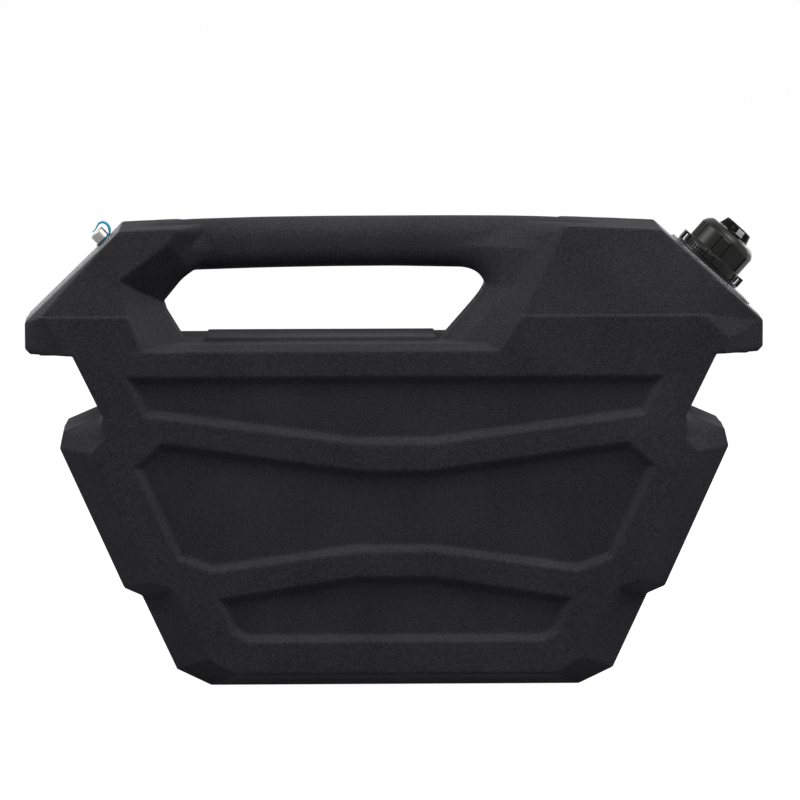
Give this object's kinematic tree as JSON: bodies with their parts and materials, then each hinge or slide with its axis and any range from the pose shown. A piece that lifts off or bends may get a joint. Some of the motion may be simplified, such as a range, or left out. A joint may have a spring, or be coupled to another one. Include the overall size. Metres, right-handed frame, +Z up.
{
  "type": "portable diesel tank",
  "caption": "Flat moulded fuel tank with a built-in carrying handle, recessed side panels, a vented screw closure on one slope and a metal fuel outlet with a pickup tube on the other",
  "frame": {"origin": "middle of the flat base the tank stands on", "axes": "+Z up; +X to the filler side, along the longest side; +Y away from the viewer, through the thickness"},
  "size_m": [0.567, 0.13, 0.3577],
  "materials": {
    "moulded_black": "blow-moulded polyethylene with a fine even grain",
    "seal_rubber": "matt black nitrile rubber",
    "closure_black": "injection-moulded plastic, satin",
    "vent_grey": "pale grey acetal, smooth",
    "gloss_black": "polished black plastic",
    "brass_turned": "turned brass, plain",
    "bright_metal": "turned aluminium, satin",
    "teal_plastic": "translucent teal plastic, glossy",
    "tube_black": "fuel-proof nylon tube, smooth"
  },
  "bodies": {
    "tank": {"tank_shell": "moulded_black", "neck_gasket": "seal_rubber", "filler_neck": "closure_black", "locking_collar": "closure_black", "outlet_insert": "brass_turned", "outlet_seal": "seal_rubber", "outlet_nipple": "bright_metal", "pickup_tube": "tube_black", "pickup_strainer": "bright_metal"},
    "rim_seal": {"cap_gasket": "seal_rubber"},
    "vent": {"vent_plug": "closure_black", "vent_seat": "vent_grey", "vent_flap": "seal_rubber", "vent_seal_ring": "seal_rubber"},
    "nut": {"filler_nut": "closure_black"},
    "knob": {"vent_knob": "gloss_black"},
    "strap": {"retaining_strap": "teal_plastic"}
  },
  "joints": [
    {"name": "closure_lift", "type": "slide", "parent": "tank", "child": "rim_seal", "axis": [0.6663, 0, 0.7456], "range_m": [0, 0.055]},
    {"name": "plug_climb", "type": "slide", "parent": "rim_seal", "child": "vent", "axis": [0.6663, 0, 0.7456], "range_m": [0, 0.009]},
    {"name": "nut_turn", "type": "hinge", "parent": "vent", "child": "nut", "pos_m": [0.24159, 0, 0.31947], "axis": [0.6663, 0, 0.7456], "range_deg": [0, 1080]},
    {"name": "vent_turn", "type": "hinge", "parent": "vent", "child": "knob", "pos_m": [0.24159, 0, 0.31947], "axis": [0.6663, 0, 0.7456], "range_deg": [0, 90]},
    {"name": "strap_swivel", "type": "hinge", "parent": "tank", "child": "strap", "pos_m": [-0.22188, 0, 0.33932], "axis": [-0.6935, 0, 0.7204], "continuous": true}
  ],
  "couplings": [
    {"joint": "plug_climb", "follows": "nut_turn", "m_per_rad": 0.000477}
  ]
}
